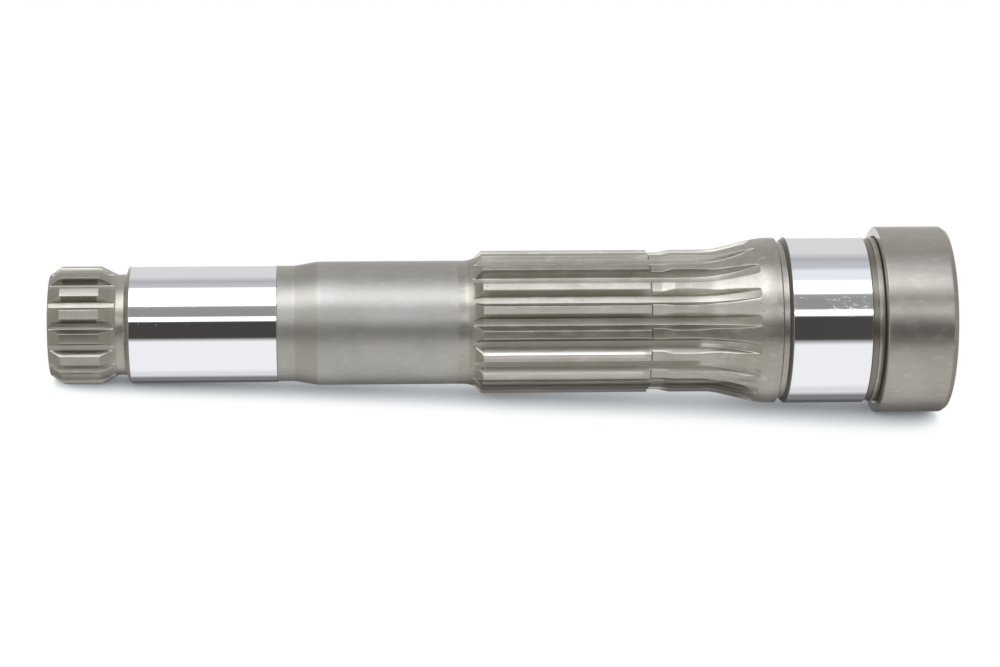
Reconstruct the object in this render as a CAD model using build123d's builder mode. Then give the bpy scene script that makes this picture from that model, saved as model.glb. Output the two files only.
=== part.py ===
from build123d import *
from math import acos, atan2, cos, degrees, pi, radians, sin, tan
import os

# Machine shaft: a one-piece drive shaft, turned, hobbed and ground.
# It stands on the flat end of its collar, with its axis along +Z. Lengths are in millimetres.
# From the bottom up: collar, large bearing journal, snap ring groove, flare, main spline,
# shank, small bearing journal, neck and end spline.

# Collar and the corner below the large journal
large_journal_diameter = 50.0
collar_height = 3.0
collar_length = 21.0
collar_end_chamfer_length = 1.4
collar_end_chamfer_depth = 1.0
collar_edge_chamfer = 0.35
corner_undercut_depth = 0.7
corner_undercut_length = 0.55
face_undercut_depth = 0.2
face_undercut_height = 0.3
seat_band_depth = 0.3
seat_band_length = 1.45
grinding_relief_depth = 0.7
grinding_relief_length = 1.8

# Large journal, groove and land
large_journal_length = 23.7
large_journal_edge = 0.25
large_journal_lead_length = 0.95
large_journal_lead_depth = 0.9
groove_depth = 1.45
groove_length = 1.95
land_clearance = 0.15
land_length = 4.7
land_edge = 0.2

# Flare between the land and the main spline
flare_length = 14.4
flare_blend_length = 2.4

# Main spline: involute teeth with a flat root and a turned relief across their crowns
pressure_angle = radians(30)
tip_modules = 1.0
main_root_modules = 1.2
crown_overcut = 0.6
main_spline_module = 2.25
main_spline_teeth = 18
crown_ramp_height = 12.7
crown_ramp_length = 3.4
crown_relief_length = 3.5
crown_relief_depth = 0.78
crown_length = 49.6
crown_foot_height = 0.7
hob_lift_height = 8.2
hob_overrun = 3.0
flute_end_height = 0.9

# Shank and the taper down to the small journal
shank_clearance = 0.4
shank_length = 43.3
shank_fillet_length = 3.55
taper_length = 6.6
taper_blend_length = 1.35
small_relief_depth = 0.2
small_relief_length = 5.2

# Small journal and neck
small_journal_diameter = 35.0
small_journal_length = 43.6
small_journal_edge = 0.15
small_journal_lead = 0.75
neck_clearance = 0.1875
neck_length = 3.2
neck_corner = 0.8

# End spline, with as many teeth as pass through the small journal's bearing
end_spline_module = 2.25
end_root_modules = 1.5
end_spline_teeth = int(small_journal_diameter / end_spline_module)
end_spline_clearance = 0.05
end_spline_crown_length = 11.5
end_spline_inner_chamfer = 4.8
end_spline_outer_chamfer = 3.7
end_spline_turn = 4.7

# Centre holes, on which the shaft was turned and ground
centre_pilot_diameter = 4.0
centre_mouth_diameter = 8.5
centre_depth = 9.0
centre_angle = 60

steel_colour = (0.62, 0.61, 0.58)

# Radii of the turned sections
large_journal_radius = large_journal_diameter / 2
small_journal_radius = small_journal_diameter / 2
collar_radius = large_journal_radius + collar_height
corner_undercut_radius = large_journal_radius - corner_undercut_depth
seat_band_radius = large_journal_radius - seat_band_depth
grinding_relief_radius = large_journal_radius - grinding_relief_depth
groove_radius = large_journal_radius - groove_depth
land_radius = large_journal_radius - land_clearance
main_crown_radius = main_spline_module * (main_spline_teeth + tip_modules) / 2
main_root_radius = main_spline_module * (main_spline_teeth - main_root_modules) / 2
crown_relief_radius = main_crown_radius - crown_relief_depth
shank_radius = main_root_radius - shank_clearance
crown_foot_radius = shank_radius + crown_foot_height
small_relief_radius = small_journal_radius - small_relief_depth
end_crown_radius = small_journal_radius - end_spline_clearance
end_root_radius = end_spline_module * (end_spline_teeth - end_root_modules) / 2
neck_radius = end_root_radius - neck_clearance

# Heights of the shoulders, added up from the flat end of the collar
seat_band_z = collar_length + corner_undercut_length
grinding_relief_z = seat_band_z + seat_band_length
large_journal_z = grinding_relief_z + grinding_relief_length
large_lead_z = large_journal_z + large_journal_length
groove_z = large_lead_z + large_journal_lead_length
land_z = groove_z + groove_length
flare_z = land_z + land_length
flare_top_z = flare_z + flare_length
crown_ramp_z = flare_top_z + crown_ramp_height
crown_relief_z = crown_ramp_z + crown_ramp_length
crown_z = crown_relief_z + crown_relief_length
crown_top_z = crown_z + crown_length
crown_foot_z = crown_top_z + main_crown_radius - crown_foot_radius
shank_z = crown_foot_z + shank_fillet_length
taper_z = shank_z + shank_length
small_relief_z = taper_z + taper_length
small_journal_z = small_relief_z + small_relief_length
small_lead_z = small_journal_z + small_journal_length
neck_z = small_lead_z + small_journal_lead
end_spline_z = neck_z + neck_length
end_crown_z = end_spline_z + end_spline_inner_chamfer
end_chamfer_z = end_crown_z + end_spline_crown_length
top_z = end_chamfer_z + end_spline_outer_chamfer


def blend_radius(blend_length, step, run):
    # Radius of the soft blend that takes up this length on each side of a bend
    return blend_length / tan(abs(atan2(step, run)) / 2)


def involute(angle):
    return tan(angle) - angle


def flank_point(module, teeth, radius, side):
    # A tooth flank's point at this radius, on one side of the tooth space centred on +X
    base_radius = module * teeth / 2 * cos(pressure_angle)
    thickness_angle = pi / teeth / 2 + involute(pressure_angle) - involute(acos(base_radius / radius))
    space_angle = pi / teeth - thickness_angle
    return radius * cos(space_angle), side * radius * sin(space_angle)


def tooth_space(module, teeth, root_radius, open_radius):
    # The space between two teeth: a flat root, two involute flanks and an open mouth
    flank_radii = (root_radius, (root_radius + open_radius) / 2, open_radius)
    with BuildSketch() as space:
        with BuildLine():
            left = Spline(*[flank_point(module, teeth, radius, 1) for radius in flank_radii])
            right = Spline(*[flank_point(module, teeth, radius, -1) for radius in flank_radii])
            Line(left @ 0, right @ 0)
            Line(left @ 1, right @ 1)
        make_face()
    return space.sketch


# Tooth spaces are cut a little past the crowns, so that no skin is left
main_space = tooth_space(
    main_spline_module, main_spline_teeth, main_root_radius, main_crown_radius + crown_overcut
)
end_space = tooth_space(
    end_spline_module, end_spline_teeth, end_root_radius, end_crown_radius + crown_overcut
)

# Main spline's cutter: straight along the teeth, then lifting out on the arc of the hob,
# so that each space runs up the flare and ends in a rounded flute just above the land
hob_lift_z = flare_top_z + hob_lift_height
flute_length = hob_lift_z - flare_z - flute_end_height
flute_rise = land_radius - main_root_radius
hob_radius = (flute_length**2 + flute_rise**2) / (2 * flute_rise)
hob_axis = Axis((main_root_radius + hob_radius, 0, hob_lift_z), (0, -1, 0))
hob_lift_angle = degrees(acos(1 - (flute_rise + hob_overrun) / hob_radius))

with BuildPart() as main_space_cutter:
    with BuildSketch(Plane.XY.offset(hob_lift_z)):
        add(main_space)
    extrude(amount=shank_z - hob_lift_z)
    with BuildSketch(Plane.XY.offset(hob_lift_z)):
        add(main_space)
    revolve(axis=hob_axis, revolution_arc=hob_lift_angle)

# End spline's cutter: the spaces are open at both ends, over the neck and the end face
with BuildPart() as end_space_cutter:
    with BuildSketch(Plane.XY.offset(end_spline_z - neck_length / 2)):
        add(end_space)
    extrude(amount=top_z - end_spline_z + neck_length)

with BuildPart() as shaft:
    # Turned blank, from the collar's flat end up to the end spline
    with BuildSketch(Plane.XZ):
        with BuildLine():
            collar_to_land = Polyline(
                (0, 0),
                (collar_radius - collar_end_chamfer_depth, 0),
                (collar_radius, collar_end_chamfer_length),
                (collar_radius, collar_length - collar_edge_chamfer),
                (collar_radius - collar_edge_chamfer, collar_length),
                (large_journal_radius + face_undercut_height, collar_length),
                (corner_undercut_radius, collar_length - face_undercut_depth),
                (seat_band_radius, seat_band_z),
                (seat_band_radius, grinding_relief_z),
                (grinding_relief_radius, grinding_relief_z),
                (grinding_relief_radius, large_journal_z),
                (large_journal_radius - large_journal_edge, large_journal_z),
                (large_journal_radius, large_journal_z + large_journal_edge),
                (large_journal_radius, large_lead_z),
                (large_journal_radius - large_journal_lead_depth, groove_z),
                (groove_radius, groove_z),
                (groove_radius, land_z),
                (land_radius - land_edge, land_z),
                (land_radius, land_z + land_edge),
            )
            flare = FilletPolyline(
                collar_to_land @ 1,
                (land_radius, flare_z),
                (main_crown_radius, flare_top_z),
                (main_crown_radius, crown_ramp_z),
                radius=blend_radius(flare_blend_length, land_radius - main_crown_radius, flare_length),
            )
            crowns = Polyline(
                flare @ 1,
                (crown_relief_radius, crown_relief_z),
                (crown_relief_radius, crown_z),
                (main_crown_radius, crown_z),
                (main_crown_radius, crown_top_z),
                (crown_foot_radius, crown_foot_z),
            )
            shank_fillet = Bezier(
                crowns @ 1,
                (shank_radius, (crown_foot_z + shank_z) / 2),
                (shank_radius, shank_z),
            )
            taper = FilletPolyline(
                shank_fillet @ 1,
                (shank_radius, taper_z),
                (small_relief_radius, small_relief_z),
                (small_relief_radius, small_journal_z),
                radius=blend_radius(taper_blend_length, shank_radius - small_relief_radius, taper_length),
            )
            Polyline(
                taper @ 1,
                (small_journal_radius - small_journal_edge, small_journal_z),
                (small_journal_radius, small_journal_z + small_journal_edge),
                (small_journal_radius, small_lead_z),
                (small_journal_radius - small_journal_lead, neck_z),
                (neck_radius + neck_corner, neck_z),
                (neck_radius, neck_z + neck_corner),
                (neck_radius, end_spline_z),
                (end_crown_radius, end_crown_z),
                (end_crown_radius, end_chamfer_z),
                (neck_radius, top_z),
                (0, top_z),
                (0, 0),
            )
        make_face()
    revolve(axis=Axis.Z)

    # Main spline, with a tooth centred on +X
    with PolarLocations(0, main_spline_teeth, start_angle=180 / main_spline_teeth):
        add(main_space_cutter.part, mode=Mode.SUBTRACT)

    # End spline, turned to where its spaces stand against those of the main spline
    with PolarLocations(0, end_spline_teeth, start_angle=end_spline_turn):
        add(end_space_cutter.part, mode=Mode.SUBTRACT)

    # Centre holes in both ends
    with Locations(shaft.faces().sort_by(Axis.Z)[0], shaft.faces().sort_by(Axis.Z)[-1]):
        CounterSinkHole(
            radius=centre_pilot_diameter / 2,
            counter_sink_radius=centre_mouth_diameter / 2,
            depth=centre_depth,
            counter_sink_angle=centre_angle,
        )

shaft.part.label = "shaft"
shaft.part.color = Color(*steel_colour)

os.makedirs("parts", exist_ok=True)
export_step(shaft.part, "parts/shaft.step")
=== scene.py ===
"""Machine shaft: the looks of a one-piece splined shaft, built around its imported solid.

The shaft stands on its collar with its axis along +Z. Each stretch of it is a class that holds its
sizes in millimetres and makes its own skin. The skins are sewn into one closed mesh at the end.
"""

import logging
from dataclasses import dataclass, field
from enum import Enum
from math import acos, atan2, cos, pi, radians, sin, tan, tau
from typing import Callable

import bmesh
import bpy
import numpy as np
from mathutils import Matrix, Vector


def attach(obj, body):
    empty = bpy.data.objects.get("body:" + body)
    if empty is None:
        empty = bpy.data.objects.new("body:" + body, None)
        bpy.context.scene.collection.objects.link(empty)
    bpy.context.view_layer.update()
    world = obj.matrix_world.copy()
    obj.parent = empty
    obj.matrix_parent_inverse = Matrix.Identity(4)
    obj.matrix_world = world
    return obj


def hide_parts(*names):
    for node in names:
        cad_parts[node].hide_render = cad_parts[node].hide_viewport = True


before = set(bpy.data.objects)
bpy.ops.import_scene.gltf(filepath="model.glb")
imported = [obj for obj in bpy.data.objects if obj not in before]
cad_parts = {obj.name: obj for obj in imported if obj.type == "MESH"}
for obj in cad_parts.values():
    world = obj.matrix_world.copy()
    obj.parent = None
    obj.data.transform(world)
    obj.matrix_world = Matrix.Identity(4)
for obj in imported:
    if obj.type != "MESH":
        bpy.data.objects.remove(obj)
LOG = logging.getLogger("machine_shaft")

MM = 0.001
SHAFT_NODE = "shaft"
SEAM_DISTANCE = 1e-6
CROSSING_GAP = 0.01
SHARP_ANGLE = radians(38)
PRESSURE_ANGLE = radians(30)
TIP_MODULES = 1.0
FLANK_EDGE = 0.15
NEARLY_LEVEL = 0.9

Colour = tuple[float, float, float]
Point = tuple[float, float]
Span = tuple[float, float]

TABLE_SHADES = (
    (0.0, (84, 84, 86)),
    (0.05, (118, 119, 122)),
    (0.1, (163, 167, 170)),
    (0.24, (203, 207, 209)),
    (0.42, (246, 248, 248)),
    (0.52, (255, 255, 255)),
)
FLOOR_SHADES = ((0.0, (190, 193, 196)), (0.3, (255, 255, 255)))


def linear(shown: Colour) -> Colour:
    """Turns a colour as it shows on a screen, from 0 to 255, into light."""
    parts = [value / 255 for value in shown]
    return tuple(part / 12.92 if part <= 0.04045 else ((part + 0.055) / 1.055) ** 2.4 for part in parts)


def linked(name: str, data: bpy.types.ID) -> bpy.types.Object:
    """Makes an object and puts it into the scene."""
    made = bpy.data.objects.new(name, data)
    bpy.context.scene.collection.objects.link(made)
    return made


class Wire:
    """A node's output, on which Python's own operators add Math nodes."""

    def __init__(self, graph: "Graph", socket: bpy.types.NodeSocket) -> None:
        """Keeps the graph that the socket is in."""
        self.graph = graph
        self.socket = socket

    def math(self, operation: str, *operands: "Wire | float") -> "Wire":
        """Adds one Math node, with the operands on its sockets in order."""
        return self.graph.wire("ShaderNodeMath", {"operation": operation}, dict(enumerate(operands)))

    def __add__(self, other: "Wire | float") -> "Wire":
        """Adds."""
        return self.math("ADD", self, other)

    def __radd__(self, other: float) -> "Wire":
        """Adds to a number."""
        return self.math("ADD", other, self)

    def __sub__(self, other: "Wire | float") -> "Wire":
        """Subtracts."""
        return self.math("SUBTRACT", self, other)

    def __rsub__(self, other: float) -> "Wire":
        """Subtracts from a number."""
        return self.math("SUBTRACT", other, self)

    def __mul__(self, other: "Wire | float") -> "Wire":
        """Multiplies."""
        return self.math("MULTIPLY", self, other)

    def __rmul__(self, other: float) -> "Wire":
        """Multiplies a number."""
        return self.math("MULTIPLY", other, self)

    def __truediv__(self, other: "Wire | float") -> "Wire":
        """Divides."""
        return self.math("DIVIDE", self, other)

    def __neg__(self) -> "Wire":
        """Changes the sign."""
        return self.math("MULTIPLY", self, -1.0)

    def __abs__(self) -> "Wire":
        """Takes the size without the sign."""
        return self.math("ABSOLUTE", self)

    def __pow__(self, other: float) -> "Wire":
        """Raises to a power."""
        return self.math("POWER", self, other)

    def floor(self) -> "Wire":
        """Rounds down."""
        return self.math("FLOOR", self)

    def between(self, low: float, high: float) -> "Wire":
        """Goes smoothly from 0 at low to 1 at high."""
        sockets = {"Value": self, "From Min": low, "From Max": high}
        return self.graph.wire("ShaderNodeMapRange", {"interpolation_type": "SMOOTHSTEP"}, sockets)

    def beyond(self, value: float, edge: float) -> "Wire":
        """Goes smoothly from 0 to 1 across a value, over an edge on both sides of it."""
        return self.between(value - edge, value + edge)

    def within(self, low: float, high: float, edge: float) -> "Wire":
        """Is 1 from low to high, and falls smoothly to 0 across both."""
        return self.beyond(low, edge) * (1.0 - self.beyond(high, edge))


class Graph:
    """Builds one node tree, of a material, of the world or of geometry."""

    def __init__(self, tree: bpy.types.NodeTree) -> None:
        """Starts from an empty tree."""
        tree.nodes.clear()
        self.tree = tree

    def feed(self, socket: bpy.types.NodeSocket, value: object) -> None:
        """Links a wire to a socket, or sets a plain value on it."""
        if isinstance(value, Wire):
            self.tree.links.new(value.socket, socket)
        else:
            socket.default_value = value

    def node(self, kind: str, settings: dict | None = None, sockets: dict | None = None) -> bpy.types.Node:
        """Adds any node.

        Args:
            kind: the node's type.
            settings: its own settings, set first; "stops" are a ramp's positions and colours.
            sockets: values or wires, by the socket's name or number.

        Returns:
            The new node.
        """
        made = self.tree.nodes.new(kind)
        for name, value in (settings or {}).items():
            if name == "stops":
                self._set_stops(made.color_ramp, value)
            else:
                setattr(made, name, value)
        for key, value in (sockets or {}).items():
            self.feed(made.inputs[key], value)
        return made

    def wire(
        self, kind: str, settings: dict | None = None, sockets: dict | None = None, output: int | str = 0
    ) -> Wire:
        """Adds any node and takes one of its outputs.

        Args:
            kind: the node's type.
            settings: its own settings.
            sockets: values or wires, by the socket's name or number.
            output: the output's name or number.

        Returns:
            That output as a wire.
        """
        return Wire(self, self.node(kind, settings, sockets).outputs[output])

    def mixed(self, share: Wire | float, first: Wire | Colour, second: Wire | Colour) -> Wire:
        """Mixes two colours, with this share of the second one."""
        sockets = {0: share}
        for socket, colour in ((6, first), (7, second)):
            sockets[socket] = colour if isinstance(colour, Wire) else (*colour, 1.0)
        return self.wire("ShaderNodeMix", {"data_type": "RGBA", "clamp_factor": True}, sockets, output=2)

    @staticmethod
    def _set_stops(ramp: bpy.types.ColorRamp, stops: list[tuple[float, Colour]]) -> None:
        """Gives a ramp its stops, in rising order."""
        while len(ramp.elements) < len(stops):
            ramp.elements.new(1.0)
        for element, (position, colour) in zip(ramp.elements, stops):
            element.position = position
            element.color = (*colour, 1.0)


@dataclass(frozen=True)
class Pattern:
    """Soft noise, whose features are about as wide as its size over its scales across and along the axis.

    Each detail adds a finer layer, and another shift gives another pattern.
    """

    size: float
    detail: float = 2.0
    shift: float = 0.0
    across: float = 1.0
    along: float = 1.0


class SurfaceGraph(Graph):
    """A material's node tree, with the coordinates and patterns that the finishes share."""

    def __init__(self, material: bpy.types.Material) -> None:
        """Starts a material from its object's coordinates in millimetres."""
        material.use_nodes = True
        super().__init__(material.node_tree)
        scale = {0: self.wire("ShaderNodeTexCoord", output="Object"), "Scale": 1 / MM}
        self.place = self.wire("ShaderNodeVectorMath", {"operation": "SCALE"}, scale)
        split = self.node("ShaderNodeSeparateXYZ", None, {0: self.place})
        self.x, self.y, self.z = (Wire(self, output) for output in split.outputs)
        self.turn = self.y.math("ARCTAN2", self.y, self.x)
        self.radius = (self.x * self.x + self.y * self.y) ** 0.5
        self._made: dict[Pattern, Wire] = {}

    def noise(self, pattern: Pattern) -> Wire:
        """Gives a pattern as noise from 0 to 1, made the first time it is asked for."""
        if pattern not in self._made:
            scale = {0: self.place, 1: (pattern.across, pattern.across, pattern.along)}
            place = self.wire("ShaderNodeVectorMath", {"operation": "MULTIPLY"}, scale)
            shift = {0: place, 1: (pattern.shift,) * 3}
            moved = self.wire("ShaderNodeVectorMath", {"operation": "ADD"}, shift)
            sockets = {"Vector": moved, "Scale": 1 / pattern.size, "Detail": pattern.detail}
            self._made[pattern] = self.wire("ShaderNodeTexNoise", {"noise_dimensions": "3D"}, sockets)
        return self._made[pattern]

    def bumped(self, height: Wire, depth: float, base: Wire | None = None) -> Wire:
        """Turns a height into a bent normal.

        Args:
            height: the height, in steps of depth.
            depth: how deep one step is, in millimetres.
            base: a normal to start from.

        Returns:
            The normal.
        """
        sockets = {"Strength": 1.0, "Distance": depth * MM, "Height": height}
        if base is not None:
            sockets["Normal"] = base
        return self.wire("ShaderNodeBump", None, sockets)

    def finish(self, colour: Wire, roughness: Wire, normal: Wire) -> None:
        """Ends the tree in a metal shader."""
        shader = self.wire(
            "ShaderNodeBsdfPrincipled",
            None,
            {"Base Color": colour, "Roughness": roughness, "Metallic": 1.0, "Normal": normal},
        )
        self.node("ShaderNodeOutputMaterial", None, {"Surface": shader})


@dataclass(frozen=True)
class StainAndPaintedLight:
    """A band round the axis where the steel has another colour, between two heights and two radii.

    Most bands are painted shade and painted highlight; the rest darken the steel's tone over a stretch. With
    a number of teeth, it lies on one side of each tooth only. It fades out above a level on X, so that
    painted shade and painted highlight keep to the -X side, on which the shaft lay.
    """

    low: float
    high: float
    edge: float
    colour: Colour
    share: float = 1.0
    inner: float = 0.0
    outer: float = 100.0
    radial_edge: float = 0.1
    teeth: int = 0
    first_tooth: float = 0.0
    level: float = 100.0
    level_edge: float = 1.0

    def on(self, graph: SurfaceGraph, colour: Wire) -> Wire:
        """Lays the band over a colour.

        Args:
            graph: the material's tree.
            colour: the colour without it.

        Returns:
            The colour with it.
        """
        share = graph.z.within(self.low, self.high, self.edge)
        share = share * graph.radius.within(self.inner, self.outer, self.radial_edge)
        if self.teeth:
            phase = (graph.turn - self.first_tooth) * self.teeth
            share = share * (1.0 - phase.math("SINE", phase).beyond(0.0, FLANK_EDGE))
        share = share * (1.0 - graph.x.beyond(self.level, self.level_edge))
        return graph.mixed(share * self.share, colour, self.colour)


@dataclass(frozen=True)
class GroundJournalFinish:
    """A bearing seat, ground and lapped to a mirror."""

    name: str = "ground_journal_steel"
    tone: Colour = (0.93, 0.93, 0.93)
    roughness: float = 0.035
    marks: Pattern = Pattern(0.05, across=0.02)
    mark_depth: float = 0.00004
    specks: Pattern = Pattern(0.35, 1.0)
    speck_span: Span = (0.71, 0.78)
    speck_patches: Pattern = Pattern(9.0, 2.0, 5.0)
    speck_patch_span: Span = (0.5, 0.7)
    speck_depth: float = 0.006
    speck_colour: Colour = (0.7, 0.7, 0.7)
    speck_share: float = 0.25
    speck_roughness: float = 0.12
    scuffs: Pattern = Pattern(0.42, 2.0, 13.0, along=0.35)
    scuff_span: Span = (0.45, 0.68)
    scuff_patches: Pattern = Pattern(3.0, 2.0, 17.0)
    scuff_patch_span: Span = (0.36, 0.58)
    scuff_turns: Span = (radians(-83.5), radians(-73.5))
    scuff_turn_edge: float = radians(1.2)
    scuff_top: Span = (48.0, 49.0)
    scuff_roughness: float = 0.26
    scuff_depth: float = 0.0008

    def material(self) -> bpy.types.Material:
        """Makes the material.

        Returns:
            The mirror steel, with fine grinding marks, a few specks and a scuffed patch.
        """
        made = bpy.data.materials.new(self.name)
        graph = SurfaceGraph(made)
        specks = graph.noise(self.specks).between(*self.speck_span)
        specks = specks * graph.noise(self.speck_patches).between(*self.speck_patch_span)
        scuffs = graph.noise(self.scuffs).between(*self.scuff_span) * self._scuffed_patch(graph)
        normal = graph.bumped(graph.noise(self.marks), self.mark_depth)
        normal = graph.bumped(specks, self.speck_depth, normal)
        normal = graph.bumped(scuffs, self.scuff_depth, normal)
        colour = graph.mixed(specks * self.speck_share, self.tone, self.speck_colour)
        roughness = self.roughness + specks * self.speck_roughness + scuffs * self.scuff_roughness
        graph.finish(colour, roughness, normal)
        return made

    def _scuffed_patch(self, graph: SurfaceGraph) -> Wire:
        """Where the large journal is scuffed, from 0 to 1."""
        side = graph.turn.within(*self.scuff_turns, self.scuff_turn_edge)
        patches = graph.noise(self.scuff_patches).between(*self.scuff_patch_span)
        return side * patches * (1.0 - graph.z.between(*self.scuff_top))


@dataclass(frozen=True)
class Layer:
    """What one pattern does to steel.

    It mixes in its colour as the noise goes through its span, and adds to the roughness and the bumps.
    """

    pattern: Pattern
    span: Span = (0.0, 1.0)
    share: float = 0.0
    colour: Colour = (0.0, 0.0, 0.0)
    roughness: float = 0.0
    depth: float = 0.0


@dataclass(frozen=True)
class SteelFinish:
    """Steel that its heat treatment has greyed and tanned, under its layers and its bands of stain, painted
    shade and painted highlight.
    """

    name: str
    olive: Colour
    roughness: float
    layers: tuple[Layer, ...]
    stains_and_painted_light: tuple[StainAndPaintedLight, ...]

    def material(self) -> bpy.types.Material:
        """Makes the material.

        Returns:
            The steel, with its clouds of heat colour, blots, tool marks, pits and grain, and its bands of
            stain, painted shade and painted highlight.
        """
        made = bpy.data.materials.new(self.name)
        graph = SurfaceGraph(made)
        colour, roughness, normal = self.olive, self.roughness, None
        for layer in self.layers:
            noise = graph.noise(layer.pattern)
            if layer.share:
                colour = graph.mixed(noise.between(*layer.span) * layer.share, colour, layer.colour)
            if layer.roughness:
                roughness = roughness + (noise - 0.5) * layer.roughness
            if layer.depth:
                normal = graph.bumped(noise, layer.depth, normal)
        # Lays on the bands, most of them painted shade and painted highlight.
        for tone_band in self.stains_and_painted_light:
            colour = tone_band.on(graph, colour)
        graph.finish(colour, roughness, normal)
        return made


CLOUD_SPAN = (0.38, 0.62)
TURNED_CLOUDS = Pattern(16.0, 3.0)
TURNED_PALE = (0.56, 0.54, 0.5)
HOBBED_PALE = (0.6, 0.57, 0.51)
GRAIN = Layer(Pattern(0.12, 2.0, 7.0), depth=0.0015)
TURNING_LAYERS = (
    Layer(Pattern(1.6, 4.0, 11.0, along=0.45), (0.5, 0.75), 0.45, TURNED_PALE, 0.08),
    Layer(Pattern(0.5, 1.0, 9.0), (0.7, 0.75), 0.45, (0.14, 0.13, 0.11)),
    Layer(Pattern(0.16, 3.0, 3.0, across=0.015), (0.3, 0.7), 0.06, TURNED_PALE, 0.1, 0.0006),
    GRAIN,
)
HOBBING_LAYERS = (
    Layer(Pattern(14.0, 3.0, 2.0), CLOUD_SPAN, 1.0, (0.455, 0.427, 0.37)),
    Layer(Pattern(2.6, 4.0, 11.0, along=0.5), (0.5, 0.72), 0.5, HOBBED_PALE, 0.16),
    Layer(Pattern(0.22, 3.0, along=0.03), (0.45, 0.7), 0.25, HOBBED_PALE, 0.1, 0.002),
    Layer(Pattern(0.5, 1.0, 9.0, along=0.5), (0.72, 0.76), 0.7, (0.12, 0.11, 0.09)),
    GRAIN,
)


class Finish(Enum):
    """The finishes that the shaft's stretches are given."""

    GROUND = GroundJournalFinish()
    TURNED = SteelFinish(
        "turned_steel",
        olive=(0.425, 0.41, 0.362),
        roughness=0.42,
        layers=(Layer(TURNED_CLOUDS, CLOUD_SPAN, 1.0, (0.47, 0.45, 0.412)), *TURNING_LAYERS),
        # Painted shade: the shank's taper is darkened, as its slope reflects less of the studio.
        stains_and_painted_light=(StainAndPaintedLight(188.7, 195.4, 0.2, (0.36, 0.34, 0.285), 0.6),),
    )
    COARSE = SteelFinish(
        "coarse_turned_steel",
        olive=(0.39, 0.365, 0.31),
        roughness=0.33,
        layers=(Layer(TURNED_CLOUDS, CLOUD_SPAN, 1.0, (0.437, 0.405, 0.353)), *TURNING_LAYERS),
        stains_and_painted_light=(
            # Painted highlight: the collar's face is paled all round. Painted shade: its lower part, towards
            # -X, is darkened again, as the face reflects bright studio above and shadow beneath.
            StainAndPaintedLight(20.95, 21.05, 0.04, (0.9, 0.88, 0.83), 0.9, 25.25, 27.6),
            StainAndPaintedLight(20.95, 21.05, 0.04, (0.2, 0.19, 0.15), 0.9, 25.25, 27.6, level=6.0, level_edge=20.0),
            # Painted shade in the undercut corner beside the collar's face.
            StainAndPaintedLight(20.85, 21.4, 0.1, (0.13, 0.12, 0.095), 0.85, outer=25.2),
            # A darker band over the grinding relief beside the large journal.
            StainAndPaintedLight(23.0, 24.9, 0.06, (0.21, 0.195, 0.15), 0.85),
            # Painted shade: the large journal's lead-in is darkened, as its slope reflects the dark end of
            # the studio.
            StainAndPaintedLight(48.6, 49.5, 0.06, (0.15, 0.14, 0.11), 0.9),
            # Painted shade in the corner where the snap ring groove's floor meets the land's wall.
            StainAndPaintedLight(51.1, 51.42, 0.05, (0.12, 0.11, 0.09), outer=24.4),
        ),
    )
    HOBBED = SteelFinish(
        "hobbed_steel",
        olive=(0.39, 0.365, 0.305),
        roughness=0.36,
        layers=HOBBING_LAYERS,
        stains_and_painted_light=(
            # Painted shade on one flank of each tooth, fading out above 13.8 mm on X.
            StainAndPaintedLight(92.0, 139.5, 3.0, (0.2, 0.185, 0.145), 0.85, 19.2, 21.15, teeth=18, level=13.8),
            # Painted highlight on the other flank of the lower teeth, below -4 mm on X, along the spline and
            # up its run-out.
            StainAndPaintedLight(92.0, 139.6, 1.0, (0.86, 0.82, 0.74), 0.85, 19.0, 21.36, 0.05, 18, pi / 18, -4.0),
            StainAndPaintedLight(70.0, 92.0, 3.0, (0.86, 0.82, 0.74), 0.8, 19.0, 20.5, 0.1, 18, pi / 18, -4.0),
            # Painted shade over that flank on the lowest teeth, below -11.5 mm on X.
            StainAndPaintedLight(68.0, 139.6, 1.0, (0.44, 0.415, 0.36), 0.6, 19.0, 21.36, 0.05, 18, pi / 18, -11.5),
            # Painted shade over the outer flank and crown of the lowest tooth, below -17.5 mm on X.
            StainAndPaintedLight(60.0, 150.0, 4.0, (0.12, 0.11, 0.088), 0.85, 20.4, 100.0, 0.4, 18, pi / 18, -17.5),
            # Painted shade in the tooth roots on the lower side, below -4 mm on X.
            StainAndPaintedLight(62.0, 139.7, 1.5, (0.25, 0.235, 0.19), 0.75, 0.0, 19.05, 0.08, level=-4.0),
            StainAndPaintedLight(139.75, 144.0, 0.1, (0.31, 0.29, 0.24), 0.5),
            # Painted shadow on the relief's floor at the foot of the wall where the full crowns start again.
            StainAndPaintedLight(89.7, 90.08, 0.04, (0.08, 0.075, 0.06), 0.8, 20.3, 20.9),
            StainAndPaintedLight(249.5, 270.0, 0.6, (0.33, 0.31, 0.26), 0.55),
            # Painted shade on one flank of each end spline tooth, fading out above 13.8 mm on X.
            StainAndPaintedLight(253.4, 264.0, 0.4, (0.14, 0.13, 0.1), 0.9, 15.5, 17.3, 0.1, 15, radians(16.7), 13.8),
        ),
    )


class FinishShelf:
    """Keeps one material for each finish."""

    def __init__(self) -> None:
        """Starts with nothing made."""
        self._made: dict[Finish, bpy.types.Material] = {}

    def take(self, finish: Finish) -> bpy.types.Material:
        """Gives a finish's material, made the first time it is asked for."""
        if finish not in self._made:
            self._made[finish] = finish.value.material()
        return self._made[finish]


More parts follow.
